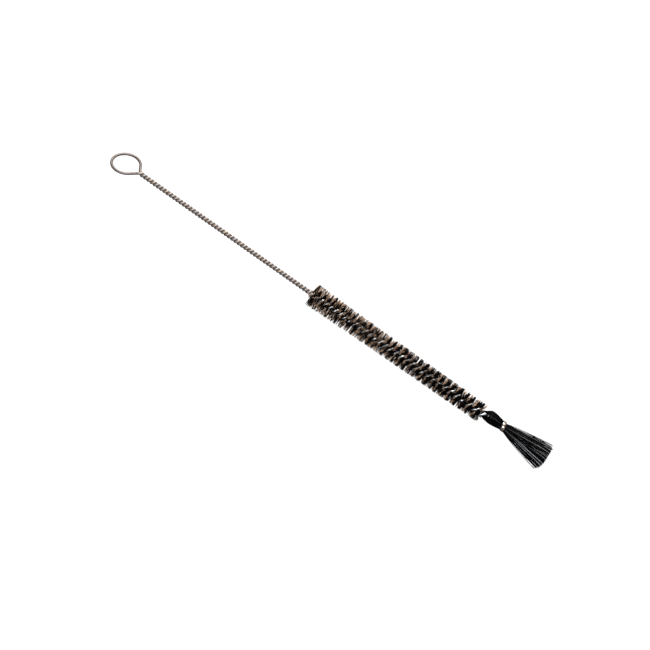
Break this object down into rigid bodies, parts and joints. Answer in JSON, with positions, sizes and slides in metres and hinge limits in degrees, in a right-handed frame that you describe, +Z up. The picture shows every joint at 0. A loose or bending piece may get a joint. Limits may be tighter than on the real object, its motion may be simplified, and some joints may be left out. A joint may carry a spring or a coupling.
{
  "type": "tip cleaning brush",
  "caption": "Slender twisted-wire cleaning brush with a teardrop handle loop, a cylinder of gripped bristles and a clipped tuft of long fibres at its tip.",
  "frame": {"origin": "middle of the underside of the brush's box, on the surface that the brush lies on", "axes": "+X along the wire from the handle loop to the tuft, +Z up, the handle loop bent 12 degrees down and 10.5 degrees towards +Y"},
  "size_m": [0.2539, 0.0164, 0.0127],
  "materials": {
    "wire": "satin",
    "bristle": "matte",
    "tuft": "satin",
    "clip": "satin"
  },
  "bodies": {
    "root": {"handle_ring": "wire", "wire_leg_a": "wire", "wire_leg_b": "wire", "bristle_bank_01": "bristle", "bristle_bank_02": "bristle", "bristle_bank_03": "bristle", "bristle_bank_04": "bristle", "bristle_bank_05": "bristle", "bristle_bank_06": "bristle", "bristle_bank_07": "bristle", "bristle_bank_08": "bristle", "bristle_bank_09": "bristle", "bristle_bank_10": "bristle", "bristle_bank_11": "bristle", "bristle_bank_12": "bristle", "bristle_bank_13": "bristle", "bristle_bank_14": "bristle", "bristle_bank_15": "bristle", "bristle_bank_16": "bristle", "bristle_bank_17": "bristle", "bristle_bank_18": "bristle", "bristle_bank_19": "bristle", "bristle_bank_20": "bristle", "bristle_bank_21": "bristle", "bristle_bank_22": "bristle", "bristle_bank_23": "bristle", "bristle_bank_24": "bristle", "bristle_bank_25": "bristle", "bristle_bank_26": "bristle", "bristle_bank_27": "bristle", "bristle_bank_28": "bristle", "bristle_bank_29": "bristle", "bristle_bank_30": "bristle", "bristle_bank_31": "bristle", "bristle_bank_32": "bristle", "tip_tuft": "tuft", "tuft_clip": "clip"}
  },
  "joints": []
}
